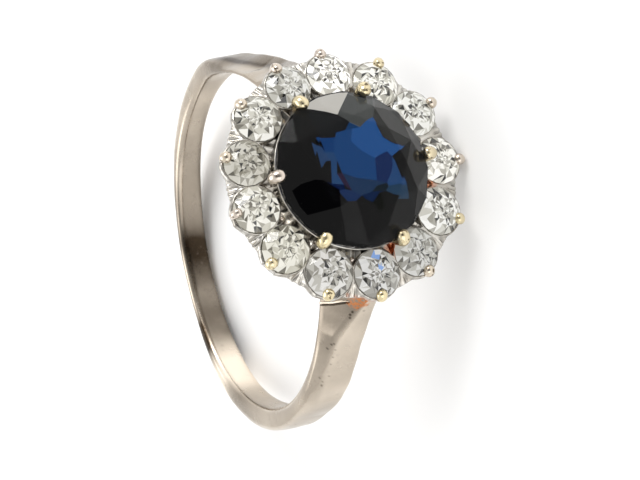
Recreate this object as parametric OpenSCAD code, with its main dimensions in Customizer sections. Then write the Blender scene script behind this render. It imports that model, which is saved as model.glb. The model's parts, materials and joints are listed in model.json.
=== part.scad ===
// Cluster ring: a round sapphire in a ring of thirteen diamonds, on a white gold band.
// The ring lies on its side. It rests on the back of the band and on one bead of the cluster.

/* [Band] */
// Inside diameter of the band, which is the finger size
finger_d = 17; // [16:0.1:18.5]
// Thickness of the band behind the finger
back_t = 1.3; // [1.1:0.05:1.5]
// Width of the band behind the finger
back_w = 1.14; // [1:0.02:1.6]
// Width of the band at its two shoulders
shoulder_w = 2.04; // [1.7:0.02:2.4]
// Thickness of the band where it passes under the cluster
bridge_t = 0.5; // [0.4:0.05:0.6]

/* [Sapphire] */
// Diameter of the sapphire at its girdle
sapphire_d = 7.9; // [7.8:0.05:7.95]
// Height of the sapphire's girdle above the finger hole
sapphire_rise = 3.5; // [3.4:0.05:3.8]

/* [Diamonds] */
// Radius of the circle on which the diamonds are set
cluster_r = 5.06; // [5.05:0.01:5.08]
// Height of the diamonds' girdles above the finger hole
cluster_rise = 2.5; // [2.4:0.05:2.5]
// Outward lean of each diamond, in degrees
cluster_lean = 10; // [8:1:12]

/* [Setting] */
// Radius of the plate that carries the diamonds
plate_r = 6.26; // [6.24:0.01:6.3]
// Radius of the bead that grips each diamond from outside
bead_r = 0.3; // [0.29:0.01:0.33]
// Radius of the wire of the six claws on the sapphire
claw_r = 0.26; // [0.24:0.01:0.27]
// Gap kept between a stone and its metal
fit_gap = 0.04; // [0.03:0.01:0.05]

/* [Hidden] */
FIRST_DIAMOND = 2;
$fn = 64;

// Columns of the diamonds' table: place round the head in degrees from the upper shoulder,
// diameter, and the place of the bead that grips the stone from outside
PLACE = 0;
WIDTH = 1;
BEAD = 2;
diamonds = [
    [5.5, 2.23, 3],
    [33.3, 2.33, 31.5],
    [60.3, 2.33, 62],
    [90, 2.35, 91],
    [119.2, 2.38, 119.5],
    [148, 2.35, 150],
    [175.7, 2.38, 177],
    [204, 2.4, 203],
    [232, 2.36, 233],
    [259, 2.3, 260.5],
    [285.6, 2.27, 287],
    [312.7, 2.3, 314],
    [339.5, 2.2, 339.5]];
// Places of the sapphire's six claws round the head, in degrees
claw_places = [22, 88, 157, 217, 272.5, 332];

// A cut stone's proportions, as shares of its diameter
TABLE = 0;
CROWN = 1;
GIRDLE = 2;
PAVILION = 3;
diamond_cut = [0.54, 0.17, 0.03, 0.42];
sapphire_cut = [0.62, 0.125, 0.02, 0.355];
// The sapphire is turned so that none of its ridges lies under a claw
sapphire_turn = 7;

// The ring is drawn with the finger's axis along Y and the head up Z, then laid on its side
finger_r = finger_d / 2;
back_r = finger_r + back_t;
sapphire_h = finger_r + sapphire_rise;
cluster_h = finger_r + cluster_rise;

// A shoulder's outer line is an arc that leans in from the side of the band to the head
shoulder_arc_r = 28.6;
shoulder_arc_x = back_r + 0.03 - shoulder_arc_r;
shoulder_arc_z = -5.3;
shoulder_top = cluster_h - 1.1;
// A wider arc eases the corner between the round back and the shoulder's arc
easing_arc_r = 20;
easing_arc_x = back_r - 0.3 - easing_arc_r;
easing_arc_z = -1.1;
bridge_top = finger_r + bridge_t;
bridge_half = 4.4;
// The band widens from just behind the finger's axis to just in front of it
widen_from = -5;
widen_to = 2;

// The collet is a cone round the sapphire's pavilion, and the plate joins it to the band
collet_wall = 0.4;
collet_r = sapphire_d / 2 - 0.1;
collet_top = sapphire_h - 0.2;
collet_knee = cluster_h - 0.1;
collet_foot = finger_r + 0.25;
collet_foot_r = 2.3;
plate_in = 3.5;
plate_low = cluster_h - 1.25;
plate_bevel = [1.1, 0.65];

// The plate's top lies a little below the girdles and slopes with the diamonds' lean.
// Each seat in it is a cone with a hole below the culet.
seat_drop = 0.17;
seat_lip = 0.12;
culet_hole_r = 0.34;
function plate_top(r) =
    cluster_h - seat_drop / cos(cluster_lean) - (r - cluster_r) * tan(cluster_lean);

// A post at the plate's edge carries a heel and a bead, given by radius and height
post_foot = [plate_r - 0.35, cluster_h - 0.55];
post_r = 0.17;
heel_at = [plate_r - 0.04, cluster_h - 0.2];
heel_r = 0.2;
bead_at = [plate_r - 0.1, cluster_h + 0.14];

// A claw leans out from the collet to its knee at the girdle, and in to its tip
claw_foot = [3.2, cluster_h - 0.2];
claw_knee = [sapphire_d / 2 + 0.2, sapphire_h + 0.04];
claw_knee_r = 0.3;
claw_tip = [sapphire_d / 2 - 0.02, sapphire_h + 0.42];
claw_tip_r = 0.35;

// Lying down, the heel of the lowest post and the back edge of the band touch the floor
span_y = heel_at.x - back_w / 2;
span_z = heel_at.y + back_r;
rest_tilt = atan2(span_y, span_z) + asin(heel_r / norm([span_y, span_z]));
rest_lift = back_r * sin(rest_tilt) + back_w / 2 * cos(rest_tilt);
reach_back = back_r * cos(rest_tilt) + back_w / 2 * sin(rest_tilt);
reach_front = claw_tip.y * cos(rest_tilt) + claw_tip.x * sin(rest_tilt) + claw_tip_r;
rest_shift = (reach_front - reach_back) / 2;

// Lays the upright ring down on the floor, with its head to the front
module lie_down() {
    translate([0, rest_shift, rest_lift])
        rotate([90 - rest_tilt, 0, 0])
            children();
}

// Moves to the girdle of a diamond, with the stone's own axis up Z
module at_diamond(i) {
    rotate([0, 0, -diamonds[i][PLACE]])
        translate([cluster_r, 0, cluster_h])
            rotate([0, cluster_lean, 0])
                children();
}

// A ring of points at one height, for the corners of a cut stone
function corners(count, r, z, turn) =
    [for (k = [0 : count - 1]) [r * cos(turn + k * 360 / count), r * sin(turn + k * 360 / count), z]];

// A round cut stone with its girdle on the XY plane: a table, eight stars, eight kites,
// sixteen upper and sixteen lower girdle facets, and eight mains that meet at the culet
module cut_stone(width, shares) {
    mains = 8;
    step = 360 / mains;
    girdle_r = width / 2;
    table_r = girdle_r * shares[TABLE];
    crown = width * shares[CROWN];
    rim = girdle_r * shares[GIRDLE];
    pavilion = width * shares[PAVILION];
    star_r = (table_r + girdle_r) / 2;
    star_z = rim + crown * (girdle_r - star_r * cos(step / 2)) / (girdle_r - table_r);
    lower_r = girdle_r * 0.28;
    lower_z = -rim - pavilion * (1 - lower_r * cos(step / 2) / girdle_r);
    points = concat(
        corners(mains, table_r, rim + crown, 0),
        corners(mains, star_r, star_z, step / 2),
        corners(2 * mains, girdle_r, rim, 0),
        corners(2 * mains, girdle_r, -rim, 0),
        corners(mains, lower_r, lower_z, step / 2),
        [[0, 0, -rim - pavilion]]);
    star = mains;
    upper = 2 * mains;
    lower = 4 * mains;
    main = 6 * mains;
    culet = 7 * mains;
    rows = [0 : mains - 1];
    after = [for (k = rows) (k + 1) % mains];
    faces = concat(
        [[for (k = rows) mains - 1 - k]],
        [for (k = rows) [k, after[k], star + k]],
        [for (k = rows) [after[k], star + after[k], upper + 2 * after[k], star + k]],
        [for (k = rows) [star + k, upper + 2 * k + 1, upper + 2 * k]],
        [for (k = rows) [star + k, upper + 2 * after[k], upper + 2 * k + 1]],
        [for (k = rows) [upper + 2 * k, upper + 2 * k + 1, lower + 2 * k + 1, lower + 2 * k]],
        [for (k = rows) [upper + 2 * k + 1, upper + 2 * after[k], lower + 2 * after[k], lower + 2 * k + 1]],
        [for (k = rows) [main + k, lower + 2 * k, lower + 2 * k + 1]],
        [for (k = rows) [main + k, lower + 2 * k + 1, lower + 2 * after[k]]],
        [for (k = rows) [main + k, lower + 2 * after[k], main + after[k], culet]]);
    polyhedron(points, faces);
}

// The room that a stone takes in the metal, with the fit gap all round
module stone_room(width, shares) {
    rim = width * shares[GIRDLE] / 2 + fit_gap;
    wide = width / 2 + fit_gap;
    top = rim + width * shares[CROWN] + fit_gap;
    rotate_extrude()
        polygon([
            [0, -rim - width * shares[PAVILION] - fit_gap],
            [wide, -rim],
            [wide, rim],
            [width * shares[TABLE] / 2 + fit_gap, top],
            [0, top]]);
}

// A round bar between two points of a radial plane of the head
module bar(from, to, r) {
    reach = to - from;
    translate([from.x, 0, from.y])
        rotate([0, atan2(reach.x, reach.y), 0])
            cylinder(h = norm(reach), r = r);
}

// A ball at a point of a radial plane of the head
module ball(at, r) {
    translate([at.x, 0, at.y])
        sphere(r = r);
}

// The band seen along the finger: round behind it, with shoulders that rise to the head
module band_outline() {
    intersection() {
        union() {
            circle(r = back_r);
            translate([-back_r, 0])
                square([2 * back_r, shoulder_top]);
        }
        translate([shoulder_arc_x, shoulder_arc_z])
            circle(r = shoulder_arc_r);
        translate([-shoulder_arc_x, shoulder_arc_z])
            circle(r = shoulder_arc_r);
        translate([easing_arc_x, easing_arc_z])
            circle(r = easing_arc_r);
        translate([-easing_arc_x, easing_arc_z])
            circle(r = easing_arc_r);
        translate([-back_r - 1, -back_r - 1])
            square([2 * back_r + 2, back_r + 1 + shoulder_top]);
    }
}

// Half of the band's width at each height above the finger's axis
half_widths = [
    [back_w / 2, -back_r - 1],
    [back_w / 2, widen_from],
    [shoulder_w / 2, widen_to],
    [shoulder_w / 2, shoulder_top + 1]];

// The band seen from its edge, narrow behind the finger and wide at the shoulders
module band_taper() {
    polygon(concat(
        half_widths,
        [for (k = [len(half_widths) - 1 : -1 : 0]) [-half_widths[k].x, half_widths[k].y]]));
}

// The band, solid inside: the finger hole is cut when the head is on it
module band() {
    difference() {
        intersection() {
            rotate([90, 0, 0])
                linear_extrude(height = 2 * shoulder_w, center = true)
                    band_outline();
            rotate([90, 0, 90])
                linear_extrude(height = 4 * back_r, center = true)
                    band_taper();
        }
        translate([-bridge_half, -shoulder_w, bridge_top])
            cube([2 * bridge_half, 2 * shoulder_w, shoulder_top]);
    }
}

// The cone that carries the sapphire
module collet() {
    rotate_extrude()
        polygon([
            [collet_foot_r - collet_wall, collet_foot],
            [collet_foot_r, collet_foot],
            [collet_r, collet_knee],
            [collet_r, collet_top],
            [collet_r - collet_wall, collet_top],
            [collet_r - collet_wall, collet_knee]]);
}

// The room of a diamond's pavilion in the plate, and the hole below its culet
module seat_room(width) {
    rim = width * diamond_cut[GIRDLE] / 2;
    slope = width * diamond_cut[PAVILION] / (width / 2);
    wide = width / 2 + fit_gap;
    rotate_extrude()
        polygon([
            [0, -3],
            [culet_hole_r, -3],
            [culet_hole_r, -rim - (wide - culet_hole_r) * slope],
            [wide - (seat_lip - rim) / slope, -seat_lip],
            [0, -seat_lip]]);
}

// The sloping plate that carries the diamonds, with a seat for each
module plate() {
    difference() {
        rotate_extrude()
            polygon([
                [plate_in, plate_low],
                [plate_r - plate_bevel.x, plate_low],
                [plate_r, plate_low + plate_bevel.y],
                [plate_r, plate_top(plate_r)],
                [plate_in, plate_top(plate_in)]]);
        for (i = [0 : len(diamonds) - 1])
            at_diamond(i)
                seat_room(diamonds[i][WIDTH]);
    }
}

// The post, heel and bead that hold a diamond from outside, cut to the stone's edge
module bead(i) {
    difference() {
        rotate([0, 0, -diamonds[i][BEAD]]) {
            bar(post_foot, heel_at, post_r);
            ball(heel_at, heel_r);
            ball(bead_at, bead_r);
        }
        at_diamond(i)
            stone_room(diamonds[i][WIDTH], diamond_cut);
    }
}

// The six claws, which stand in the collet, lean out round the sapphire and close over it
module claws() {
    for (place = claw_places)
        rotate([0, 0, -place]) {
            bar(claw_foot, claw_knee, claw_r);
            ball(claw_knee, claw_knee_r);
            bar(claw_knee, claw_tip, claw_r);
            ball(claw_tip, claw_tip_r);
        }
}

// The collet with its claws, cut to the sapphire's underside and girdle
module sapphire_setting() {
    difference() {
        union() {
            collet();
            claws();
        }
        translate([0, 0, sapphire_h])
            stone_room(sapphire_d, sapphire_cut);
    }
}

// All the metal, soldered into one piece
module band_and_setting() {
    color("lightgray")
        lie_down()
            difference() {
                union() {
                    band();
                    plate();
                    sapphire_setting();
                    for (i = [0 : len(diamonds) - 1])
                        bead(i);
                }
                rotate([90, 0, 0])
                    cylinder(h = 4 * shoulder_w, r = finger_r, center = true);
            }
}

module sapphire() {
    color("midnightblue")
        lie_down()
            translate([0, 0, sapphire_h])
                rotate([0, 0, -sapphire_turn])
                    cut_stone(sapphire_d, sapphire_cut);
}

module diamond(i) {
    color("whitesmoke")
        lie_down()
            at_diamond(i)
                cut_stone(diamonds[i][WIDTH], diamond_cut);
}

band_and_setting();
sapphire();
for (i = [0 : len(diamonds) - 1])
    diamond(i);
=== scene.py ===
"""A cluster ring on its side: a round sapphire and thirteen old-cut diamonds on a worn white gold band."""

import json

import bmesh
import bpy
import numpy as np
from mathutils import Matrix, Vector


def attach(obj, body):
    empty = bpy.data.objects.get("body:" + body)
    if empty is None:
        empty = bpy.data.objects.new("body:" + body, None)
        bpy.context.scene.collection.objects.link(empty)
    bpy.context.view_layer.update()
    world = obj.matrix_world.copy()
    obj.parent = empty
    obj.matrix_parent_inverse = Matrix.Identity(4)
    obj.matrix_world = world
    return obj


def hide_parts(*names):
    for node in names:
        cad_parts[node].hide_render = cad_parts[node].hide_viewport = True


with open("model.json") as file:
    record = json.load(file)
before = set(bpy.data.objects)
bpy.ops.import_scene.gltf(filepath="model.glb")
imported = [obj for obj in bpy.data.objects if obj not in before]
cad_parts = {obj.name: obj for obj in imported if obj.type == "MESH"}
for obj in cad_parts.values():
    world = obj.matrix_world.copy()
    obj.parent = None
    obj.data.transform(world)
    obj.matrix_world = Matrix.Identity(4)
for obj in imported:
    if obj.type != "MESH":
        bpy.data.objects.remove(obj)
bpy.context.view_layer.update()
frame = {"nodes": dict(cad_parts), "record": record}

MM = 0.001

# Sizes in millimetres, as in the part's source
FINGER_R = 8.5
CLUSTER_H = 11.0
CLUSTER_R = 5.06
LEAN = np.radians(10)
PLATE_LOW = 9.75

# Each diamond's place round the head in degrees from the upper shoulder, and its diameter
STONE_PLACE = np.array([5.5, 33.3, 60.3, 90, 119.2, 148, 175.7, 204, 232, 259, 285.6, 312.7, 339.5])
STONE_WIDTH = np.array([2.23, 2.33, 2.33, 2.35, 2.38, 2.35, 2.38, 2.4, 2.36, 2.3, 2.27, 2.3, 2.2])

# A faint tint of each diamond, and how bright it looks
STONE_TINT = [
    "#ffffff", "#fffefa", "#fcfcfa", "#fffefb", "#fafaf9", "#f7f7f6", "#fafafb",
    "#faf9f8", "#fffef7", "#fefdf9", "#f1efe8", "#fefdf9", "#fdfdfb",
]
STONE_LIGHT = np.array([1.35, 1.05, 0.93, 1.02, 0.97, 0.7, 0.76, 0.8, 0.88, 0.93, 0.74, 0.97, 0.85])
# The diamond that shows blue flashes, their colour and reach, and where they lie in ring F and S
BLUE_FLASH_STONE = 6
BLUE_FLASH = "#86a6dc"
BLUE_FLASH_REACH = 0.15
BLUE_FLASH_AT = np.array([(0.44, -4.82), (0.38, -4.23)])

# The diamonds' beads: place round the head, size, and how yellow the gold is, from 0 to 1
BEAD_PLACE = np.array([3, 31.5, 62, 91, 119.5, 150, 177, 203, 233, 260.5, 287, 314, 339.5])
BEAD_SIZE = np.array([0.92, 1, 1.05, 1, 1, 1.05, 1, 1.08, 1.05, 0.85, 1.05, 1, 0.95])
BEAD_GILT = np.array([0.1, 0.75, 0.2, 0.15, 0.8, 0.3, 0.9, 0.85, 0.8, 0.1, 0.3, 0.25, 0.15])

# The sapphire's claws: place round the head, and how yellow the gold is
CLAW_PLACE = np.array([22, 88, 157, 217, 272.5, 332])
CLAW_GILT = np.array([0.85, 0.7, 0.8, 0.9, 0.12, 0.8])

# The camera stands where the photograph was taken from, given in the ring's frame: its distance in mm, the
# pixels for a millimetre at the ring, the pixel where the ring's origin lies, and its axes to the right and
# back towards the viewer
DISTANCE = 344.222
PX_PER_MM = 20.126
AIM = (264.204, 236.553)
PHOTO_WIDTH, PHOTO_HEIGHT = 640, 480
SENSOR_WIDTH = 36
RIGHT = np.array([0.901, -0.2415, 0.3603])
BACK = np.array([-0.4075, -0.187, 0.8939])

# The ring's own frame in the world: finger axis F, shoulder axis S and head axis H
mount = frame["record"]["mounts"][0]
RING_AT = np.array(mount["pos_m"])
HOLE = np.array(mount["axis"])
F_AXIS = -HOLE
S_AXIS = np.array([1.0, 0.0, 0.0])
H_AXIS = np.cross(F_AXIS, S_AXIS)
RING_AXES = np.stack([F_AXIS, S_AXIS, H_AXIS], -1)
# How far the finger axis leans over in the world, about X
TILT = float(np.arctan2(-F_AXIS[1], -F_AXIS[2]))


def camera_place():
    """The camera's three axes and its place in mm, in the ring's frame.

    They are the fitted axes made square, and a place that follows from the ring origin's pixel."""
    back = BACK / np.linalg.norm(BACK)
    right = RIGHT - back * (RIGHT @ back)
    right /= np.linalg.norm(right)
    up = np.cross(back, right)
    aside, above = PHOTO_WIDTH / 2 - AIM[0], AIM[1] - PHOTO_HEIGHT / 2
    spot = right * aside / PX_PER_MM + up * above / PX_PER_MM + back * DISTANCE
    return right, up, back, spot


def laid(f, s, h):
    """World points in metres of ring points in millimetres, the three arrays broadcast together."""
    f, s, h = np.broadcast_arrays(f, s, h)
    return RING_AT + MM * (f[..., None] * F_AXIS + s[..., None] * S_AXIS + h[..., None] * H_AXIS)


def headed(place, r, h):
    """World points at a place round the head in degrees, a radius from its axis and a height."""
    a = np.radians(place)
    return laid(r * np.sin(a), r * np.cos(a), h)


def smooth_step(x, low, high):
    """0 below low, 1 above high, and a smooth S between."""
    t = np.clip((x - low) / (high - low), 0, 1)
    return t * t * (3 - 2 * t)


def eased(values, width):
    """A closed row of numbers, each made the mean of its neighbours under a bell of the given width."""
    bell = np.hanning(width) / np.hanning(width).sum()
    half = width // 2
    return np.convolve(np.concatenate([values[-half:], values, values[:half]]), bell, "valid")


def scatter(count, seed):
    """Evenly spread but irregular numbers from 0 to 1, the same on every run: fractions of a scaled sine."""
    k = np.arange(count) + 1.0
    return np.abs(np.sin(k * 12.9898 + seed * 78.233) * 43758.5453) % 1


def skin(grid, closed_rows=False, fans=False):
    """Points and faces of a grid. Its columns close on themselves, and its rows close too, or end in fans."""
    rows, cols = grid.shape[:2]
    index = np.arange(rows * cols).reshape(rows, cols)
    below = np.roll(index, -1, 0) if closed_rows else index[1:]
    above = index if closed_rows else index[:-1]
    quads = np.stack([above, np.roll(above, -1, 1), np.roll(below, -1, 1), below], -1).reshape(-1, 4)
    points = grid.reshape(-1, 3)
    faces = quads.tolist()
    if fans:
        points = np.vstack([points, grid[0].mean(0), grid[-1].mean(0)])
        first = np.stack([np.full(cols, rows * cols), np.roll(index[0], -1), index[0]], -1)
        last = np.stack([np.full(cols, rows * cols + 1), index[-1], np.roll(index[-1], -1)], -1)
        faces += first.tolist() + last.tolist()
    return points, faces


def piece(name, skins, material, flat=False, marks=None, paint=None):
    """One object from several skins, riding on the ring. Its normals are made to face outwards."""
    points, faces, count = [], [], 0
    for part_points, part_faces in skins:
        points.append(part_points)
        faces += [[k + count for k in face] for face in part_faces]
        count += len(part_points)
    mesh = bpy.data.meshes.new(name)
    mesh.from_pydata(np.vstack(points).tolist(), [], faces)
    for mark, values in (marks or {}).items():
        shade = mesh.attributes.new(mark, "FLOAT", "POINT")
        spread = [np.broadcast_to(value, len(part)) for part, value in zip(points, values)]
        shade.data.foreach_set("value", np.concatenate(spread))
    if paint is not None:
        tint = mesh.attributes.new("paint", "FLOAT_COLOR", "FACE")
        tint.data.foreach_set("color", np.vstack(paint).astype(float).ravel())
    thing = bpy.data.objects.new(name, mesh)
    bpy.context.scene.collection.objects.link(thing)
    outward(mesh)
    mesh.polygons.foreach_set("use_smooth", np.full(len(mesh.polygons), not flat))
    mesh.materials.append(material)
    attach(thing, "root")
    return thing


def outward(mesh):
    """Turns every shell's faces outwards."""
    work = bmesh.new()
    work.from_mesh(mesh)
    bmesh.ops.recalc_face_normals(work, faces=work.faces)
    work.to_mesh(mesh)
    work.free()


# Materials

SHADER = "Principled BSDF"


def linear(code):
    """Linear colour of an sRGB hex code."""
    srgb = np.array([int(code[k : k + 2], 16) for k in (1, 3, 5)]) / 255
    value = np.where(srgb <= 0.04045, srgb / 12.92, ((srgb + 0.055) / 1.055) ** 2.4)
    return (*value, 1.0)


class Nodes:
    """The nodes of a material or of the room, ending in a node that is there from the start."""

    def __init__(self, owner, last, values):
        """Takes up the owner's own last node and sets its values."""
        owner.use_nodes = True
        self.owner = owner
        self.tree = owner.node_tree
        self.last = self.tree.nodes[last]
        self.join(self.last, values)

    def join(self, node, values):
        """Sets a node's sockets, by name or in their order, to plain values or to other nodes' outputs."""
        for key, value in values.items() if isinstance(values, dict) else enumerate(values):
            if isinstance(value, bpy.types.NodeSocket):
                self.tree.links.new(value, node.inputs[key])
            else:
                node.inputs[key].default_value = value

    def add(self, kind, values, give=0, **settings):
        """Adds a node with its settings, values and links, and returns one of its outputs."""
        made = self.tree.nodes.new("ShaderNode" + kind)
        for key, value in settings.items():
            setattr(made, key, value)
        self.join(made, values)
        return made.outputs[give]

    def layers(self, tone, rows):
        """Colours laid over a first one.

        A row gives a pattern, the two values of it between which the layer comes in, how strong it gets and
        its colour."""
        for pattern, low, high, most, colour in rows:
            amount = self.add("MapRange", [pattern, low, high, 0.0, most])
            tone = self.add("Mix", {0: amount, 6: tone, 7: linear(colour)}, 2, data_type="RGBA")
        return tone


def metal(name):
    """A new metal's nodes, and its pieces' own coordinates."""
    f = Nodes(bpy.data.materials.new(name), SHADER, {"Metallic": 1.0})
    return f, f.add("TexCoord", [], "Object")


def per_metre(size_mm):
    """Pattern scale whose features are about this many millimetres apart."""
    return 1 / (size_mm * MM)


def stain(f, place, points, reach_mm):
    """How stained a surface is: 1 at the given world points, 0 beyond their reach, with a ragged edge."""
    ragged = f.add("TexNoise", {"Vector": place, "Scale": per_metre(0.35), "Detail": 4})
    total = 0.0
    for point, reach in zip(points, np.array(reach_mm) * MM):
        away = f.add("VectorMath", [place, tuple(point)], "Value", operation="DISTANCE")
        wobbly = f.add("Math", [ragged, -0.9 * reach, away], operation="MULTIPLY_ADD")
        near = f.add("MapRange", [wobbly, 0.1 * reach, 0.5 * reach, 1.0, 0.0])
        total = f.add("Math", [total, near], operation="MAXIMUM")
    return total


def worn_white_gold():
    """White gold worn through its plating: warm beige and softly brushed, with scratches and dull patches."""
    f, place = metal("worn_white_gold")
    cloud, speck, mottle, dull = [
        f.add("TexNoise", {"Vector": place, "Scale": per_metre(size), "Detail": detail})
        for size, detail in ((2.6, 4), (0.22, 5), (0.16, 3), (0.8, 4))
    ]
    tarnish_and_painted_light = f.add("Attribute", [], "Fac", attribute_name="tarnish_and_painted_light")
    cloudy = f.add("MapRange", [cloud, 0.3, 0.7, -0.5, 0.5])
    uneven = f.add("Math", [cloudy, 0.16, tarnish_and_painted_light], operation="MULTIPLY_ADD")
    # Copper-coloured solder has run out at the lower shoulder's joint
    soldered = laid(*np.transpose([(0.04, -5.78, 8.65), (0.26, -5.92, 8.9), (-0.12, -5.72, 8.33)]))
    run_out = stain(f, place, soldered, (0.55, 0.42, 0.3))
    broken = f.add("MapRange", [mottle, 0.36, 0.54, 0.0, 1.0])
    patch = f.add("Math", [run_out, broken], operation="MULTIPLY")
    # Painted light: the per-point mark darkens the band for tarnish and also paints its reflections and shade.
    # Near 0 the bright base is a painted highlight, near 1 the dark tone paints dark reflections, and over 1 a
    # near black paints out a reflected highlight
    tone = f.layers(
        linear("#fff1de"),
        [
            (uneven, 0.0, 1.0, 1.0, "#3e3429"),
            (tarnish_and_painted_light, 1.0, 2.0, 1.0, "#120e0a"),
            (speck, 0.6, 0.8, 0.35, "#8d7f76"),
            (patch, 0.0, 1.0, 1.0, "#c27f52"),
        ],
    )
    # Scratches run round the band, mostly crosswise to the finger hole; drawn 0.1 mm apart so that they show
    brushed = f.add("Mapping", {"Vector": place, "Rotation": (TILT, 0, 0), "Scale": (1, 0.08, 1)})
    scratch = f.add("TexNoise", {"Vector": brushed, "Scale": per_metre(0.1), "Detail": 2})
    height = f.add("Math", [scratch, 0.4, dull], operation="MULTIPLY_ADD")
    relief = f.add("Bump", {"Height": height, "Strength": 0.12, "Distance": 0.02 * MM})
    rough = f.add("MapRange", [dull, 0.3, 0.7, 0.17, 0.3])
    f.join(f.last, {"Base Color": tone, "Roughness": rough, "Normal": relief})
    return f.owner


def bright_cut_white_gold():
    """White gold of the head, cut bright with a graver: greyer than the band, with copper-coloured solder."""
    f, place = metal("bright_cut_white_gold")
    cloud, grain = [
        f.add("TexNoise", {"Vector": place, "Scale": per_metre(size), "Detail": 4}) for size in (0.7, 0.12)
    ]
    grime_and_shade = f.add("Attribute", [], "Fac", attribute_name="grime_and_shade")
    # Places round the head, radii and heights of the solder, and how far each patch of it reaches
    spots = np.array([(157, 4.25, 10.7), (104, 4.5, 10.7), (184, 6.3, 10.1), (190, 6.3, 10)])
    copper = stain(f, place, headed(*spots.T), (0.7, 0.5, 0.8, 0.8))
    # Painted shade: the per-point mark darkens the hollows round and under the stones, the plate's side and
    # underside, and the collet away from its lower left
    tone = f.layers(
        linear("#e4e1da"),
        [
            (cloud, 0.35, 0.7, 1.0, "#bdb7ad"),
            (grime_and_shade, 0.0, 1.0, 1.0, "#35312d"),
            (copper, 0.0, 1.0, 1.0, "#b87550"),
        ],
    )
    rough = f.add("MapRange", [grain, 0.3, 0.7, 0.12, 0.26])
    relief = f.add("Bump", {"Height": grain, "Strength": 0.15, "Distance": 0.02 * MM})
    f.join(f.last, {"Base Color": tone, "Roughness": rough, "Normal": relief})
    return f.owner


def gilt_claw_gold():
    """Claw and bead gold, pale yellow on some and nearly white on others, polished but with dark pits."""
    f, place = metal("gilt_claw_gold")
    gilt = f.add("Attribute", [], "Fac", attribute_name="gilt")
    pit = f.add("TexNoise", {"Vector": place, "Scale": per_metre(0.2), "Detail": 2})
    tone = f.layers(linear("#cfc4bc"), [(gilt, 0.0, 1.0, 1.0, "#e2d3a8"), (pit, 0.61, 0.67, 0.9, "#4a3a22")])
    rough = f.add("MapRange", [pit, 0.4, 0.7, 0.16, 0.3])
    relief = f.add("Bump", {"Height": pit, "Strength": 0.25, "Distance": 0.04 * MM})
    f.join(f.last, {"Base Color": tone, "Roughness": rough, "Normal": relief})
    return f.owner


def clear_stone(name, tint, index, gloss):
    """A cut and polished clear stone: its reflections are held back, so that the light from inside shows."""
    body = {"Base Color": linear(tint), "Roughness": 0.0, "IOR": index}
    clear = {"Transmission Weight": 1.0, "Specular Tint": linear(gloss)}
    return Nodes(bpy.data.materials.new(name), SHADER, body | clear).owner


def inner_light(name):
    """The light that a cut stone sends back: flat patches inside its clear body, which give it off evenly."""
    dark = {"Base Color": (0, 0, 0, 1), "Roughness": 0.5, "Specular IOR Level": 0.0, "Emission Strength": 1.0}
    f = Nodes(bpy.data.materials.new(name), SHADER, dark)
    f.join(f.last, {"Emission Color": f.add("Attribute", [], "Color", attribute_name="paint")})
    return f.owner


# The band

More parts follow.
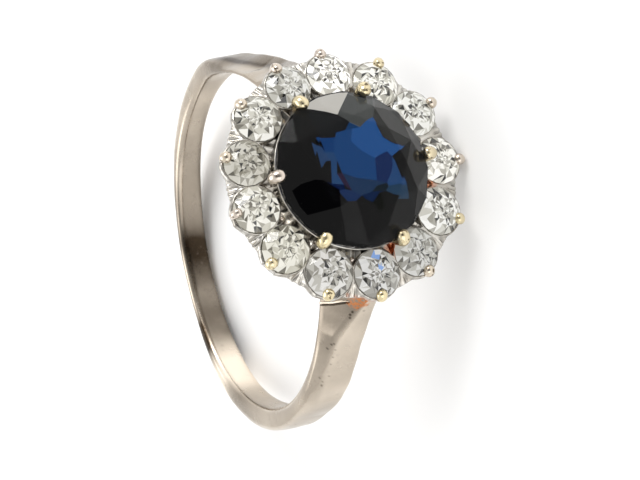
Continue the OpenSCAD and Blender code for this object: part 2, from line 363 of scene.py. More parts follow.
# Profiles of the band: angles from its back in degrees, and sizes in mm or shares. The first ones are the
# same on both sides of the finger, or belong to one side. From "near" on, the upper shoulder's angles are
# positive and the lower one's negative.
PROFILE = {
    # From the finger axis out to the ridge
    "reach": [
        (0, 9.8), (60, 9.8), (66, 9.77), (72, 9.7), (78, 9.6), (84, 9.48), (90, 9.37), (97, 9.24),
        (105.3, 9.11), (117.1, 9.19), (128.8, 9.47), (137.8, 9.95), (142.8, 10.36), (147.4, 10.9),
        (151, 11.28), (155.9, 10.84), (156.9, 9.79), (162, 9.46), (171, 9.11), (180, 9),
    ],
    # How much thicker the lower side is where it turns up into its shoulder, and the same for the upper
    "lower swell": [
        (70, 0), (82, 0.07), (91, 0.08), (97, 0.19), (103, 0.27), (110, 0.24), (118, 0.12), (128, 0),
    ],
    "upper swell": [(74, 0), (86, 0.08), (98, 0.08), (108, 0)],
    # How far the ridge lies from the near side: each shoulder has a facet there that widens to the head
    "lower facet": [
        (94, 0), (103, 0.2), (116, 0.42), (126, 0.44), (133.5, 0.53), (140, 0.93), (144.6, 1.25),
        (150, 1.5), (156, 0.6),
    ],
    "upper facet": [
        (72, 0), (84, -0.3), (90, -0.5), (100, -0.1), (110, 0.47), (120, 1.2), (128, 1.28), (134, 1),
        (140, 0.9), (144.7, 1.4), (150, 1.6), (156, 0.5),
    ],
    # How rounded the outside is: wholly at the back, not at all on the shoulders
    "softness": [(0, 1), (90, 0.8), (118, 0)],
    # How much of the shoulder's thickness the near side loses
    "side cut": [(90, 0), (104, 0.25), (118, 0.6), (132, 1)],
    # The upper shoulder's near facet lies lower, and leans in over the finger a little
    "upper near drop": [
        (80, 0.1), (86, 0.15), (92, 0.3), (98, 0.5), (104, 0.58), (112, 0.6), (122, 0.72), (132, 0.98),
    ],
    "ridge drop": [(88, 0), (100, 0.2), (110, 0.44), (120, 0.64), (127, 0.55), (134, 0.25), (140, 0)],
    "lean in": [(84, 0), (98, 0.2), (108, 0.2), (118, 0.15), (130, 0.05), (138, 0)],
    # Painted shade on the near facet of the lower shoulder: how much darker it is painted
    "near facet shade": [(112, 0), (120, 0), (130, 0.18), (145, 0.22)],
    # Out to the near side and to the far one: the band is worn, and a little bent
    "near": [
        (-180, 1.02), (-150, 1.04), (-127, 1.1), (-105, 1.13), (-75, 1.12), (-60, 1.1), (-45, 1.06),
        (-35, 1.02), (-25, 0.95), (-12, 0.87), (0, 0.84), (30, 0.84), (45, 0.83), (60, 0.8), (70, 0.77),
        (78, 0.79), (86, 0.85), (95, 0.93), (104, 0.98), (125, 1), (180, 1.02),
    ],
    "far": [
        (-180, 1.02), (-145, 1.02), (-127, 1.04), (-112, 1.08), (-100, 1.05), (-90, 1), (-80, 0.95),
        (-72, 0.82), (-64, 0.68), (-55, 0.6), (-45, 0.565), (55, 0.565), (65, 0.6), (75, 0.7), (85, 0.82),
        (95, 0.92), (104, 0.98), (125, 1), (145, 1.02), (180, 1.02),
    ],
    # How far the near side's outer edge lies below the ridge
    "near drop": [
        (-96, 0.05), (-85, 0.05), (-75, 0.07), (-65, 0.18), (-55, 0.28), (-45, 0.33), (-35, 0.46),
        (-25, 0.64), (-12, 0.8), (0, 0.84), (12, 0.8), (25, 0.78), (35, 0.65), (45, 0.5), (55, 0.45),
        (65, 0.33), (75, 0.17), (85, 0.1), (96, 0.08),
    ],
    # How dark the inner face and the strip between it and the ridge are painted: 0 bright, 1 tarnished, 2
    # black.
    # It is partly tarnish and partly painted light: near 0 a painted highlight, near 1 painted dark
    # reflections, and over 1 a near black that paints out a reflected highlight
    "tarnish_and_painted_light": [
        (-180, 0.5), (-120, 0.46), (-95, 0.5), (-70, 0.57), (-59, 0.58), (-50, 0.42), (-44, 0.04),
        (-37, -0.06), (-30, 0.02), (-25, 0.4), (-20, 0.84), (-10, 0.86), (-4, 0.74), (3, 0.96), (13, 1.08),
        (19, 0.85), (25, 0.66), (36, 0.68), (48, 0.62), (61, 0.63), (72, 0.41), (110, 0.52), (180, 0.54),
    ],
    "strip tarnish and painted light": [
        (-180, 0.48), (-110, 0.46), (-91, 0.58), (-72, 0.46), (-63, 0.58), (-50, 0.69), (-44, 0.62),
        (-38, 0), (-33, 0.05), (-27, 0.66), (-23, 1.16), (-17, 1.13), (-11, 0.7), (-4, 0.5), (7, 0.54),
        (14, 0.88), (20, 0.72), (32, 0.68), (46, 0.45), (69, 0.45), (84, 0.57), (96, 0.77), (110, 0.7),
        (180, 0.54),
    ],
}
# A corner of the section is rounded with this many points, and its rounding takes this much of a side at most
CORNER_POINTS = 8
CORNER_SHARE = 0.47
# Steps along the section: the ridge's middle, and where the strip beside it comes in and goes out
RIDGE_MIDDLE = 2 * CORNER_POINTS + (CORNER_POINTS - 1) / 2
STRIP_IN = (1, 5)
STRIP_OUT = (32, 36)
# Steps round the finger
BAND_STEPS = 720


def at(name, angle):
    """A profile's value at angles from the band's back."""
    return np.interp(angle, *np.transpose(PROFILE[name]))


def tarnish_and_painted_light_at(angle, step, across):
    """How dark each point of the band is painted, from its angle, step along the section and place across it.

    It is tarnish and pits, and also painted reflections and painted shade.
    """
    turn = np.abs(angle)
    lower, upper = angle < 0, angle >= 0
    inner_tarnish_and_light, strip_tarnish_and_light = [eased(at(name, angle), 17)[:, None] for name in ("tarnish_and_painted_light", "strip tarnish and painted light")]
    strip = smooth_step(step, *STRIP_IN) * (1 - smooth_step(step, *STRIP_OUT))
    mark = inner_tarnish_and_light * (1 - strip) + strip_tarnish_and_light * strip
    # Painted shade: the lower shoulder's near facet is painted darker and its far facet lighter, and the upper
    # shoulder's far facet darker than its near one
    far_facet = smooth_step(across, -0.1, 0.25)
    facets = np.where(lower[:, None], 0.1 - 0.2 * far_facet, 0.2 * far_facet - 0.06)
    mark = mark + smooth_step(turn, 96, 112)[:, None] * facets
    low_near = (lower * smooth_step(turn, 100, 118) * (1 - smooth_step(turn, 146, 154)))[:, None]
    near_facet_shade = at("near facet shade", turn)[:, None]
    mark = mark + low_near * (0.1 + (near_facet_shade - 0.1) * (1 - smooth_step(across, -0.12, 0.2)))
    # The upper shoulder's ridge is a darker line
    crease = (upper * smooth_step(turn, 84, 94) * (1 - smooth_step(turn, 124, 134)))[:, None]
    mark = mark + 0.22 * crease * np.exp(-(((step - RIDGE_MIDDLE - 1) / 2.5) ** 2))
    # A few dark pits lie along the lower shoulder's ridge
    along_ridge = (lower & (turn > 112) & (turn < 147))[:, None] & (np.abs(step - RIDGE_MIDDLE) < 3)
    pitted = scatter(mark.size, 5).reshape(mark.shape) > 0.955
    return mark + 0.3 * (along_ridge & pitted)


def band():
    """The band: a five-cornered section carried round the finger.

    At each angle the corners are the hole's two edges, the two side edges and the ridge between them.
    Each corner is rounded by a quadratic curve between a point before it and a point after it."""
    angle = np.linspace(-180, 180, BAND_STEPS + 1)[:-1]
    turn = np.abs(angle)
    lower, upper = angle < 0, angle >= 0
    reach = at("reach", turn)
    reach = np.where(turn < 145, eased(reach, 15), reach)
    reach = reach + lower * at("lower swell", turn)
    reach = reach + upper * at("upper swell", turn)
    near, far = at("near", angle), at("far", angle)
    soft = at("softness", turn)
    ridge = -near * (1 - soft) + np.where(lower, at("lower facet", turn), at("upper facet", turn))
    near_drop = at("near drop", angle) + at("side cut", turn) * np.maximum(reach - FINGER_R - 0.25, 0.05)
    high_drop = np.maximum(near_drop, at("upper near drop", turn))
    near_drop = np.where(upper & (turn < 132), high_drop, near_drop)
    far_drop = 0.08 * soft + 0.05 * (1 - soft)
    corners = np.stack(
        [
            np.stack([-near, FINGER_R - upper * at("lean in", turn)], -1),
            np.stack([-near, reach - near_drop], -1),
            np.stack([ridge + 0.02, reach - upper * at("ridge drop", turn)], -1),
            np.stack([far, reach - far_drop], -1),
            np.stack([far, np.full_like(far, FINGER_R)], -1),
        ],
        1,
    )
    # How far each corner's rounding reaches: the finger has worn the inner edges soft
    inner_soft = smooth_step(turn, 20, 50) * (1 - smooth_step(turn, 95, 125))
    softened = [0.2 + 0.25 * soft, 0.22 + 0.16 * soft, 0.4 + 0.15 * soft, 0.2 + 0.05 * soft]
    crisp = np.stack([*softened, 0.25 + 0.25 * inner_soft], -1)
    ends = []
    for way in (1, -1):
        side = np.roll(corners, way, 1) - corners
        length = np.linalg.norm(side, axis=-1)
        share = np.minimum(crisp, CORNER_SHARE * length) / np.maximum(length, 1e-6)
        ends.append((corners + side * share[..., None])[:, :, None])
    t = np.linspace(0, 1, CORNER_POINTS)[None, None, :, None]
    curve = (1 - t) ** 2 * ends[0] + 2 * t * (1 - t) * corners[:, :, None] + t**2 * ends[1]
    section = curve.reshape(len(angle), -1, 2)
    a = np.radians(angle)[:, None]
    grid = laid(section[..., 0], section[..., 1] * np.sin(a), -section[..., 1] * np.cos(a))
    across = (section[..., 0] - ridge[:, None]) / near[:, None]
    mark = tarnish_and_painted_light_at(angle, np.arange(section.shape[1]), across)
    return skin(grid, closed_rows=True), mark.ravel()


# The head


def seat_distances(place, r):
    """Distance of each head point from each stone's axis, in the stone's own leaned plane."""
    a = np.radians(place)[..., None]
    turn = a - np.radians(STONE_PLACE)
    out = (r[..., None] * np.cos(turn) - CLUSTER_R) / np.cos(LEAN)
    side = r[..., None] * np.sin(turn)
    return np.hypot(out, side)


# The plate: its hole, and the least and most that its edge reaches from the head's axis
PLATE_HOLE_R = 3.55
EDGE_LEAST, EDGE_MOST = 5.98, 6.26
# Its underside from the edge in to the hole: radius and height
PLATE_BELOW = np.array([(5.2, 9.8), (5.1, 9.76), (4.3, 9.76), (3.6, 9.76), (PLATE_HOLE_R, 9.76)])
# Its points: so many round the head, and so many circles on its top
PLATE_STEPS, PLATE_CIRCLES = 1040, 72
# Painted shade on its side and underside: how dark they are painted
PLATE_BELOW_SHADE = np.array([0.2, 0.3, 0.3, 0.6, 0.9, 0.9, 0.9, 0.9, 0.9])


def head_plate():
    """The plate that carries the diamonds, as a closed section round the head.

    Its top is a height over place and radius: a slope under the girdles, with a cone below each stone, a thin
    lip round it, and fluted webs between the stones that fall away outwards. Its edge follows the stones."""
    place = np.linspace(0, 360, PLATE_STEPS + 1)[:-1]
    rim_r = STONE_WIDTH / 2 + 0.07
    turn = np.radians(place[:, None] - STONE_PLACE)
    under = np.maximum(rim_r**2 - (CLUSTER_R * np.sin(turn)) ** 2, 0)
    lobe = np.where(np.cos(turn) > 0.8, CLUSTER_R * np.cos(turn) + np.sqrt(under), 0).max(1)
    edge = np.minimum(eased(np.maximum(lobe, EDGE_LEAST), 9), EDGE_MOST)
    r = PLATE_HOLE_R + (edge[None] - PLATE_HOLE_R) * np.linspace(0, 1, PLATE_CIRCLES)[:, None]
    p = np.broadcast_to(place[None], r.shape)
    away = seat_distances(p, r)
    gap = away - STONE_WIDTH / 2
    nearest = gap.argmin(-1)
    clear = gap.min(-1)
    girdle = CLUSTER_H - (r - CLUSTER_R) * np.tan(LEAN)
    # Webs: fall outwards, with flutes that fan from the point where two stones meet
    outside = smooth_step(r, 5.2, 5.6)
    flute = np.abs((((p - STONE_PLACE[nearest]) * 0.33) % 1) - 0.5) * 2
    fall = 0.03 + 0.42 * np.clip(r - 5.35, 0, 1) ** 1.3
    # Near the sapphire the metal is cut into small facets of its own, with raised edges between them
    within = 1 - smooth_step(r, 4.35, 4.6)
    nick = np.abs(((p / 7.2) % 1) - 0.5) * 2
    web = girdle - fall - 0.15 * flute * outside * smooth_step(clear, 0.06, 0.2)
    web = web - within * (0.1 + 0.16 * nick)
    lip = girdle - 0.01
    wall = smooth_step(clear, 0.05, 0.1)
    top = lip * (1 - wall) + web * wall
    # Seats: the stone's pavilion cone with a small gap
    own = np.take_along_axis(away, nearest[..., None], -1)[..., 0]
    depth = 0.05 + (STONE_WIDTH[nearest] / 2 + 0.04 - own) * 0.84
    seat = girdle - np.maximum(depth, 0.12)
    inside = 1 - smooth_step(clear, 0.0, 0.02)
    top = top * (1 - inside) + seat * inside
    top = np.maximum(top, PLATE_LOW + 0.15)
    # Painted shade, with some grime, in the hollows: dark lines close round each stone, beside the collet and
    # along the flutes, on the small facets near the sapphire, and in the seats under the stones
    line = smooth_step(clear, 0.03, 0.06) * (1 - smooth_step(clear, 0.07, 0.12))
    groove = np.exp(-(((r - 4.28) / 0.05) ** 2))
    grime_and_shade = np.maximum.reduce(
        [0.3 * line, within * (0.25 + 0.5 * nick), 0.75 * groove, 0.5 * flute * outside, 0.5 * inside]
    )
    # The side and the underside go round with the edge
    rim_low = np.minimum(top[-1] - 0.06, CLUSTER_H - 0.54)
    even = np.ones((1, len(place)))
    all_r = np.vstack([r, edge, edge, edge - 0.03, edge - 0.4, PLATE_BELOW[:, :1] * even])
    all_h = np.vstack([top, top[-1] - 0.02, rim_low, rim_low - 0.05, 10.16 * even, PLATE_BELOW[:, 1:] * even])
    all_grime_and_shade = np.vstack([grime_and_shade, PLATE_BELOW_SHADE[:, None] * even])
    return skin(headed(place[None], all_r, all_h), closed_rows=True), all_grime_and_shade.ravel()


def turned(profile, count):
    """A closed profile of radius and height turned round the head's axis."""
    profile = np.array(profile, float)
    place = np.linspace(0, 360, count + 1)[:-1]
    return skin(headed(place[None], profile[:, :1], profile[:, 1:]), closed_rows=True)


# The collet's section, as radius and height, and the number of steps in which it is turned
COLLET = [
    (1.9, 8.77), (2.28, 8.77), (2.35, 8.86), (3.1, 9.95), (3.8, 10.88), (3.84, 11.0), (3.85, 11.5),
    (3.94, 11.8), (3.95, 11.86), (3.9, 11.87), (3.44, 11.54), (3.44, 10.95), (2.7, 9.95), (1.93, 8.85),
]
COLLET_STEPS = 160


def collet():
    """The cone that carries the sapphire, with a thin upright wall and a lip just under the girdle."""
    return turned(COLLET, COLLET_STEPS)


def collet_shade():
    """Painted shade on the collet: left bright at the head's lower left, painted dark elsewhere, the same all
    the way up.
    """
    place = np.linspace(0, 360, COLLET_STEPS + 1)[:-1]
    bright = smooth_step(place, 170, 200) * (1 - smooth_step(place, 285, 310))
    return np.tile(0.8 - 0.7 * bright, len(COLLET))


# Circles along a claw or bead, and the points in each circle
ROD_CIRCLES = 26
CLAW_SIDES, BEAD_SIDES = 24, 20


def rod(place, path, radii, sides):
    """A round rod in a radial plane of the head: circles of given radii along a path of radius and height.

    The path is resampled evenly by its length, and the last circles shrink to close the end."""
    path = np.array(path, float)
    steps = np.concatenate([[0], np.cumsum(np.linalg.norm(np.diff(path, axis=0), axis=1))])
    spot = np.linspace(0, steps[-1], ROD_CIRCLES)
    r = np.interp(spot, steps, path[:, 0])
    h = np.interp(spot, steps, path[:, 1])
    kernel = np.array([0.25, 0.5, 0.25])
    for _ in range(3):
        r[1:-1] = np.convolve(r, kernel, "valid")
        h[1:-1] = np.convolve(h, kernel, "valid")
    width = np.interp(spot, steps, radii)
    left, last = steps[-1] - spot, radii[-1]
    rounded = np.sqrt(np.maximum(last**2 - (last - left) ** 2, 0)) * width / last
    width = np.maximum(np.where(left < last, rounded, width), 0.01)
    ahead = np.stack([np.gradient(r), np.gradient(h)], -1)
    ahead /= np.linalg.norm(ahead, axis=-1, keepdims=True)
    a = np.linspace(0, 2 * np.pi, sides + 1)[:-1]
    across = width[:, None] * np.cos(a)
    along = width[:, None] * np.sin(a)
    turn = np.radians(place)
    rr = r[:, None] - ahead[:, 1:] * along
    hh = h[:, None] + ahead[:, :1] * along
    f = rr * np.sin(turn) + across * np.cos(turn)
    s = rr * np.cos(turn) - across * np.sin(turn)
    return skin(laid(f, s, hh), fans=True)


def gilt_along(yellow, sides):
    """How yellow each point of a rod is: white at its foot, turning to the given yellow above its middle."""
    rows = smooth_step(np.linspace(0, 1, ROD_CIRCLES), 0.35, 0.6) * yellow
    return np.concatenate([np.repeat(rows, sides), [0, yellow]])


# The joint between the lower shoulder and the head, along the shoulder's near facet, as ring F, S and H
JOINT = np.array(
    [(-1.1, -5.14, 6.93), (-0.9, -5.24, 7.2), (-0.68, -5.36, 7.55), (-0.46, -5.43, 7.9), (-0.2, -5.56, 8.28)]
)


def seam(lift, drop, radius):
    """One line of the joint: a thin rod along it, lifted off the facet and moved down the shoulder."""
    t = np.linspace(0, 4, 17)
    line = np.stack([np.interp(t, np.arange(5), JOINT[:, k]) for k in range(3)], -1)
    line += lift * BACK + drop * np.array([0, -1.0, 0])
    ahead = np.gradient(line, axis=0)
    ahead /= np.linalg.norm(ahead, axis=1, keepdims=True)
    out = np.cross(ahead, np.cross(BACK, ahead))
    side = np.cross(ahead, out)
    a = np.linspace(0, 2 * np.pi, 13)[:-1]
    width = radius * np.interp(t, [0, 0.5, 3, 4], [0.7, 1, 1, 0.3])[:, None, None]
    circle = np.cos(a)[None, :, None] * out[:, None] + np.sin(a)[None, :, None] * side[:, None]
    return skin(laid(*np.moveaxis(line[:, None] + width * circle, -1, 0)), fans=True)


def claw(place):
    """A claw: it stands on the cone, leans out past the girdle, and ends rounded on the stone's crown."""
    path = [
        (3.5, 10.6), (3.74, 11.15), (4.0, 11.65), (4.2, 12.08), (4.16, 12.34), (3.95, 12.45), (3.66, 12.47),
    ]
    return rod(place, path, [0.2, 0.22, 0.25, 0.3, 0.33, 0.32, 0.3], CLAW_SIDES)


def bead(place, size):
    """A bead on its post: from the plate's edge up to a rounded end that leans over the diamond's edge."""
    path = [(5.85, 10.3), (6.14, 10.66), (6.23, 10.84), (6.2, 11.0), (6.08, 11.14), (5.88, 11.24)]
    radii = np.array([0.15, 0.19, 0.2, 0.27, 0.28, 0.27]) * [1, 1, 1, size, size, size]
    return rod(place, path, radii, BEAD_SIDES)


def grain(place, r, h, size):
    """A small raised grain: a ball of the metal pushed up between the stones."""
    v = np.linspace(0.05, np.pi - 0.05, 10)[:, None]
    u = np.linspace(0, 2 * np.pi, 15)[None, :-1]
    a = np.radians(place)
    f = r * np.sin(a) + size * np.sin(v) * np.cos(u)
    s = r * np.cos(a) + size * np.sin(v) * np.sin(u)
    return skin(laid(f, s, h + size * np.cos(v) + 0 * u), fans=True)


# The grains: place round the head, radius, height and size
GRAINS = [(190, 4.2, 10.98, 0.14), (208, 4.15, 11.03, 0.17), (247, 4.1, 10.98, 0.13)]

band_skin, band_tarnish_and_light = band()
plate_skin, plate_grime_and_shade = head_plate()
seam_lines = [seam(0.03, 0.02, 0.075), seam(0.02, 0.14, 0.05)]
claws = [claw(place) for place in CLAW_PLACE]
claws_gilt = [gilt_along(yellow, CLAW_SIDES) for yellow in CLAW_GILT]
beads = [bead(place, size) for place, size in zip(BEAD_PLACE, BEAD_SIZE)]
beads_gilt = [gilt_along(yellow, BEAD_SIDES) for yellow in BEAD_GILT]
grains = [grain(*values) for values in GRAINS]
band_metal = worn_white_gold()
head_metal = bright_cut_white_gold()
claw_metal = gilt_claw_gold()

# Each metal piece: its name, its surfaces, its material, and what its marks say of each surface
parts = [
    piece(name, skins, metal_finish, marks={mark: values})
    for name, skins, metal_finish, mark, values in (
        ("band", [band_skin], band_metal, "tarnish_and_painted_light", [band_tarnish_and_light]),
        ("shoulder_seam", seam_lines, band_metal, "tarnish_and_painted_light", [0.12, 1.0]),
        ("head_plate", [plate_skin], head_metal, "grime_and_shade", [plate_grime_and_shade]),
        ("sapphire_collet", [collet()], head_metal, "grime_and_shade", [collet_shade()]),
        ("sapphire_claws", claws, claw_metal, "gilt", claws_gilt),
        ("diamond_beads", beads, claw_metal, "gilt", beads_gilt),
        ("grains", grains, claw_metal, "gilt", [0.05, 0.9, 0.1]),
    )
]
for part in parts:
    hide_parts("band_and_setting")


# The stones keep their cut solids

sapphire_glass = clear_stone("cut_sapphire", "#ffffff", 1.77, "#000000")

# The height and radius of the sapphire's table, and how much its crown falls for each millimetre outwards,
# as they follow from the part's source
TABLE_H = 13.066
TABLE_R = 2.449
CROWN_SLOPE = 0.658
# Ring F and S that a line of sight gains for each millimetre that it goes down, outside the stone and in it
SIGHT = np.array([0.456, 0.209])
SIGHT_IN_STONE = np.array([0.238, 0.109])

# Corners of the flat patches of light in the sapphire, as pixels of the photograph read one by one
CORNER_PIXELS = {
    "a1": (306, 109), "a2": (309, 101), "a3": (318, 95.5), "a4": (330, 92), "a5": (340, 90.8),
    "a6": (347.6, 92), "a7": (337.3, 115), "a8": (320, 111.5), "b1": (356, 97), "b2": (374, 101),
    "b3": (372.5, 117.5), "c1": (345, 130), "c2": (335.5, 132.5), "c3": (335, 137.5), "c4": (319.5, 138),
    "c5": (315, 143), "c6": (321.5, 147), "c7": (324, 151.5), "c8": (334, 152), "c9": (334, 145),
    "d1": (321.5, 168), "d2": (326, 161), "d3": (331, 160.5), "d4": (332, 183.5), "d5": (344, 184.5),
    "d6": (327, 182), "d7": (338, 190.5), "d8": (345, 189), "e1": (378, 127.5), "e2": (383, 137),
    "e3": (391, 142), "e4": (402.5, 146.5), "e5": (397, 152), "e6": (392, 156), "e7": (387, 151),
    "e8": (379, 155), "e9": (375, 158), "f1": (352, 128.5), "f2": (351, 141), "f3": (361, 150),
    "f4": (337, 160), "f5": (342, 172.5), "f6": (356, 177.5), "f7": (377, 180), "f8": (376, 167),
    "g1": (395, 160), "g2": (393, 165), "g3": (401, 175), "g4": (404.5, 182.5), "g5": (389, 185.5),
    "g6": (387, 182.5), "g7": (391.5, 172), "h1": (407, 195), "h2": (395, 194.5), "h3": (386, 190.5),
    "h4": (372, 191.5), "h5": (377, 185.5), "k1": (352, 190.5), "k2": (362, 195), "k3": (356, 201),
    "k4": (348, 201.5), "k5": (341, 194), "k6": (366, 199), "k7": (373, 202), "k8": (380, 192),
    "k9": (384, 203), "m1": (292.5, 190.5), "m2": (301, 184.5), "m3": (315, 179.5), "m4": (324, 180.5),
    "m5": (334, 187), "m6": (339.5, 190), "m7": (340.5, 206.5), "m8": (307.5, 215), "m9": (300, 206),
    "n1": (346.5, 180), "n2": (337, 173.5), "t0": (355.5, 107), "t1": (362, 111), "t2": (366, 121),
    "t3": (360, 127), "t4": (349, 122),
}
# Further corners, placed on the plane of the table, as F and S in mm
PLACED_CORNERS = {
    "b4": (2.0, 2.6), "b5": (2.6, 1.8), "b6": (3.0, 0.8), "l1": (0.42, -2.35), "l2": (-1.7, -3.6),
    "l3": (-0.6, -4.0), "s1": (-1.87, 1.43), "s2": (-1.72, 1.41), "s3": (-1.64, 0.85),
}


def on_table(pixel):
    """Ring F and S in mm where the line of sight through a pixel meets the plane of the table, to 0.01 mm.

    The line starts at the camera, and leans from its axis as far as the pixel is from the picture's middle."""
    right, up, back, spot = camera_place()
    scale = PX_PER_MM * DISTANCE
    aside, below = pixel[0] - PHOTO_WIDTH / 2, pixel[1] - PHOTO_HEIGHT / 2
    ray = aside / scale * right - below / scale * up - back
    return np.round((spot + ray * (TABLE_H - spot[2]) / ray[2])[:2], 2)


CORNERS = {name: on_table(pixel) for name, pixel in CORNER_PIXELS.items()} | PLACED_CORNERS

# Patches just under the crown, as reflections of the room: a colour and the patch's corners
CROWN_PATCHES = [
    ("#1d1e1f", "a1 a8 a7 t4 c1 c2 c3 c4"),
    ("#454746", "a6 b1 b2 b3 t2 t3 t4 a7"),
    ("#333332", "b2 b4 b5 b6 e4 e3 e2 e1 b3"),
    ("#bebbb4", "a1 a2 a3 a4 a5 a6 a7 a8"),
    ("#050506", "m1 m2 m3 m4 m5 m6 m7 m8 m9"),
    ("#282828", "k4 k3 l3 l2 m7"),
]
# Glowing patches deep under the table, which paint the light from the pavilion's facets
STAR_PATCHES = [
    ("#525c68", "t0 t1 b3 t2 t3 t4"),
    ("#1a365c", "c1 t4 t3 f1"),
    ("#284d82", "f1 t3 t2 b3 e1 e2 e3 e4 e5 e6 e7 e8 e9 f3 f2"),
    ("#203f6c", "c9 c2 c1 f1 f2 f3 e9 f8 f7 f6 f5 f4 c8"),
    ("#1a3866", "c4 c3 c2 c9 c8 c7 c6"),
    ("#274166", "c7 c8 f4 n2 d5 d4 d3"),
    ("#2a3f60", "c5 c6 c7 d3 d2 d1"),
    ("#2c2436", "n2 f5 n1 k1 d5"),
    ("#22344f", "f5 f6 f7 g6 h5 h4 k2 k1 n1"),
    ("#1d2b50", "e9 e8 e7 e6 g2 g7 g6 f7 f8"),
    ("#28436b", "e6 g1 g3 g4 g5 g6 g7 g2"),
    ("#253a50", "g5 g4 h1 h2 h3"),
    ("#1a2229", "h5 g6 g5 h3 h4"),
    ("#1e2e50", "d8 k1 k2 k3 k4 k5 d7"),
    ("#12213f", "k2 h4 h3 k8 k7 k6"),
    ("#0b193b", "d6 d4 d5 d8 d7"),
    ("#131412", "k7 k8 k9 l1"),
    ("#08090a", "s1 s2 s3"),
]


def thin_plate(top, depth):
    """A closed flat plate: an outline in ring F, S and H, the same one lowered, and faces between them."""
    count = len(top)
    k = np.arange(count)
    sides = np.stack([k, (k + 1) % count, (k + 1) % count + count, k + count], -1).tolist()
    points = np.vstack([top, top - [0, 0, depth]])
    return laid(*points.T), [k.tolist(), (k[::-1] + count).tolist()] + sides


# The dark body under the girdle, which glows dimly with painted light, as radius and height, with its colour
# and the steps in which it is turned
DARK_BODY = [(0.02, 9.6), (3.5, 11.8), (3.8, 11.97), (3.7, 12.0), (0.02, 12.0)]
DARK_BODY_COLOUR = "#1c1c1c"
DARK_BODY_STEPS = 24
# The star's lowest patch lies on the body, and each further one a little higher
STAR_H, STAR_STEP = 12.04, 0.004
# A crown patch lies this far under the crown's cone, and reaches at most this far from the head's axis
CROWN_GAP, CROWN_REACH = 0.1, 3.82


def sapphire_painted_light():
    """The sapphire's painted light: a dimly glowing dark body under the girdle, with glowing flat patches over
    it.

    A patch is drawn on the table's plane and then lowered along the line of sight. A crown patch goes down
    until it lies just under the crown's cone. A star patch goes through the table to the body, and more
    steeply inside the stone."""
    body = turned(DARK_BODY, DARK_BODY_STEPS)
    skins, paint = [body], [np.tile(linear(DARK_BODY_COLOUR), (len(body[1]), 1))]

    def lay(spot, low, depth, colour):
        """Adds one patch: its corners' places, their heights, its thickness and its colour."""
        skins.append(thin_plate(np.column_stack([spot, low]), depth))
        paint.append(np.tile(linear(colour), (len(spot) + 2, 1)))

    for k, (colour, names) in enumerate(STAR_PATCHES):
        low = STAR_H + STAR_STEP * k
        spot = np.array([CORNERS[name] for name in names.split()]) + SIGHT_IN_STONE * (TABLE_H - low)
        lay(spot, np.full(len(spot), low), 0.002, colour)
    for colour, names in CROWN_PATCHES:
        drawn = np.array([CORNERS[name] for name in names.split()])
        low = np.full(len(drawn), TABLE_H)
        # The height and the place depend on each other, and settle in a few rounds
        for _ in range(12):
            spot = drawn + SIGHT * (TABLE_H - low)[:, None]
            far = np.maximum(np.hypot(*spot.T), 1e-6)
            low = TABLE_H - np.maximum(np.minimum(far, CROWN_REACH) - TABLE_R, 0) * CROWN_SLOPE - CROWN_GAP
        spot *= (np.minimum(far, CROWN_REACH) / far)[:, None]
        lay(spot, low, 0.01, colour)
    return skins, paint


# A cut diamond's table, crown and half its girdle, as shares of its diameter, as in the part's source
DIAMOND_TABLE = 0.54
DIAMOND_CROWN = 0.17
DIAMOND_RIM = 0.015
# Its inner light's rings of corners: how far out each lies, the corners in one, and the mm under the crown
BRILLIANCE_SHARE = np.array([0.14, 0.28, 0.42, 0.57, 0.75, 0.985])
BRILLIANCE_COLUMNS = 22
BRILLIANCE_UNDER = 0.06
# The two rings below the girdle: how far out, as a share of the radius, and how high, of the diameter
KEEL = np.array([(0.9, -0.06), (0.12, -0.34)])
# How far a corner strays along its ring, in steps, and outwards, and how far out corners still stray outwards
STRAY_ALONG, STRAY_OUT, STRAY_WITHIN = 0.7, 0.14, 0.89
# Tones of the small facets, and how many in a hundred have each
BRILLIANCE_TONE = ["#2b2a28", "#7a776f", "#b0ada4", "#d9d7cf", "#fdfcf9"]
BRILLIANCE_PART = np.array([8, 14, 19, 24, 35])


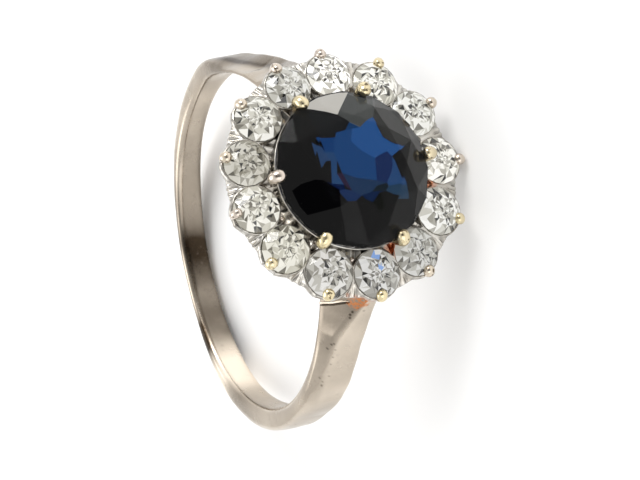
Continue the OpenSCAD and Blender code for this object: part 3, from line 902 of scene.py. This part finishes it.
def brilliance(i):
    """The play of light in a diamond: a closed body of small flat facets just under its crown and pavilion.

    Rings of corners follow the crown a little way below it. Each ring is turned half a step on the last, and
    each corner is moved a little along and across, so that the triangles between them are all unlike."""
    width = STONE_WIDTH[i]
    cols, rings = BRILLIANCE_COLUMNS, len(BRILLIANCE_SHARE)
    nudge = scatter(2 * rings * cols, i).reshape(2, rings, cols) - 0.5
    step = np.arange(cols) + 0.5 * (np.arange(rings)[:, None] % 2) + STRAY_ALONG * nudge[0]
    turn = step * 2 * np.pi / cols
    share = BRILLIANCE_SHARE[:, None] + STRAY_OUT * nudge[1] * (BRILLIANCE_SHARE < STRAY_WITHIN)[:, None]
    crown = DIAMOND_RIM + DIAMOND_CROWN * np.minimum((1 - share) / (1 - DIAMOND_TABLE), 1)
    top = width * crown - BRILLIANCE_UNDER
    keel_turn = np.arange(cols) * 2 * np.pi / cols + np.zeros((2, 1))
    keel_share = KEEL[:, :1] + np.zeros(cols)
    keel_z = KEEL[:, 1:] * width + np.zeros(cols)
    turn, share, z = np.vstack([turn, keel_turn]), np.vstack([share, keel_share]), np.vstack([top, keel_z])
    x = width / 2 * share * np.cos(turn)
    y = width / 2 * share * np.sin(turn)
    # Lean the stone outwards and turn it to its place round the head
    out = CLUSTER_R + x * np.cos(LEAN) + z * np.sin(LEAN)
    up = CLUSTER_H + z * np.cos(LEAN) - x * np.sin(LEAN)
    a = np.radians(STONE_PLACE[i])
    grid = laid(out * np.sin(a) + y * np.cos(a), out * np.cos(a) - y * np.sin(a), up)
    points, rows = skin(grid, fans=True)
    quads = np.array([face for face in rows if len(face) == 4])
    swap = scatter(len(quads), i + 80) > 0.5
    quads[swap] = np.roll(quads[swap], 1, 1)
    caps = [face for face in rows if len(face) == 3]
    faces = np.vstack([quads[:, [0, 1, 2]], quads[:, [0, 2, 3]], caps]).tolist()
    chance = np.cumsum(BRILLIANCE_PART) / BRILLIANCE_PART.sum()
    pick = np.minimum(np.searchsorted(chance, scatter(len(faces), i + 60)), 4)
    # Some facets take their neighbour's tone, so that the patches are of unlike sizes
    pick = np.where(scatter(len(faces), i + 33) > 0.62, np.roll(pick, 1), pick)
    tone = np.array([linear(code) for code in BRILLIANCE_TONE])[pick]
    tone[:, :3] *= np.array([linear(STONE_TINT[i])[:3]]) * STONE_LIGHT[i]
    if i == BLUE_FLASH_STONE:
        middle = (points[faces].mean(1) - RING_AT) @ RING_AXES / MM
        away = np.linalg.norm(middle[:, None, :2] - BLUE_FLASH_AT, axis=-1).min(1)
        tone[(away < BLUE_FLASH_REACH) & (middle[:, 2] > CLUSTER_H)] = linear(BLUE_FLASH)
    return (points, faces), tone


# The sapphire's glowing inside paints its reflections and the light from its facets
heart_skins, heart_paint = sapphire_painted_light()
sapphire_light = inner_light("sapphire_inner_light")
piece("sapphire_painted_light", heart_skins, sapphire_light, flat=True, paint=heart_paint)
# Each diamond's glowing facets paint the light that it sends back
light_skins, light_paint = zip(*[brilliance(i) for i in range(len(STONE_PLACE))])
diamond_light = inner_light("diamond_inner_light")
piece("diamond_painted_light", light_skins, diamond_light, flat=True, paint=light_paint)
diamond_glass = clear_stone("old_cut_diamond", "#fefefc", 2.417, "#a0a0a0")
warm_glass = clear_stone("old_cut_diamond_warm", "#fcfaf3", 2.417, "#a0a0a0")
glass_of = dict.fromkeys(("diamond_09", "diamond_10", "diamond_11"), warm_glass)
glass_of["sapphire"] = sapphire_glass
for name, node in frame["nodes"].items():
    if name != "band_and_setting":
        node.data.materials.clear()
        node.data.materials.append(glass_of.get(name, diamond_glass))


# Floor, light and camera


def plain(name, corners, material):
    """A flat sheet from four corners in metres."""
    mesh = bpy.data.meshes.new(name)
    mesh.from_pydata(corners, [], [[0, 1, 2, 3]])
    sheet = bpy.data.objects.new(name, mesh)
    bpy.context.scene.collection.objects.link(sheet)
    mesh.materials.append(material)
    return sheet


matt = {"Base Color": linear("#fafafa"), "Roughness": 0.9}
pale = Nodes(bpy.data.materials.new("pale_floor"), SHADER, matt).owner
plain("floor", [(-1, -1, 0), (1, -1, 0), (1, 1, 0), (-1, 1, 0)], pale)


def softbox(name, at, size, watts):
    """A square soft white light that faces the ring."""
    lamp = bpy.data.lights.new(name, "AREA")
    lamp.size = size
    lamp.energy = watts
    thing = bpy.data.objects.new(name, lamp)
    thing.location = at
    thing.rotation_euler = (Vector((0, 0, 0.005)) - Vector(at)).to_track_quat("-Z", "Y").to_euler()
    bpy.context.scene.collection.objects.link(thing)


softbox("back_light", (0.02, 0.28, 0.34), 0.34, 0.6)
softbox("left_light", (-0.32, -0.20, 0.20), 0.34, 0.35)
softbox("right_light", (0.30, -0.12, 0.24), 0.2, 0.8)


# Dimmer parts of the room: which way, how near to it the dimming begins and ends, and how bright it stays
DIM_PARTS = (((0.0, -0.62, 0.78), 0.7, 0.95, 0.35), ((-0.187, -0.748, 0.636), 0.955, 0.975, 0.04))


def studio_world():
    """The room: an even pale light as in a tent, dimmer above the camera and darkest behind it."""
    room = Nodes(bpy.data.worlds.new("studio"), "Background", {"Color": (1.0, 0.995, 0.985, 1)})
    toward = room.add("TexCoord", [], "Generated")
    strength = 1.0
    for aim, low, high, dimmest in DIM_PARTS:
        near = room.add("VectorMath", [toward, Vector(aim).normalized()], "Value", operation="DOT_PRODUCT")
        dim = room.add("MapRange", [near, low, high, 1.0, dimmest])
        strength = room.add("Math", [strength, dim], operation="MULTIPLY")
    room.join(room.last, {"Strength": strength})
    bpy.context.scene.world = room.owner


studio_world()



def make_camera():
    """The camera, with its axes and place turned from the ring's frame into the world's."""
    right, up, back, spot = camera_place()
    where = RING_AT + MM * RING_AXES @ spot
    data = bpy.data.cameras.new("camera")
    data.sensor_width = SENSOR_WIDTH
    data.lens = PX_PER_MM * DISTANCE * SENSOR_WIDTH / PHOTO_WIDTH
    data.clip_start, data.clip_end = 0.01, 10
    camera = bpy.data.objects.new("camera", data)
    axes = RING_AXES @ np.stack([right, up, back], -1)
    camera.matrix_world = Matrix([[*axes[k], where[k]] for k in range(3)] + [[0, 0, 0, 1]])
    bpy.context.scene.collection.objects.link(camera)
    bpy.context.scene.camera = camera


make_camera()
bpy.context.scene.view_settings.view_transform = "Standard"
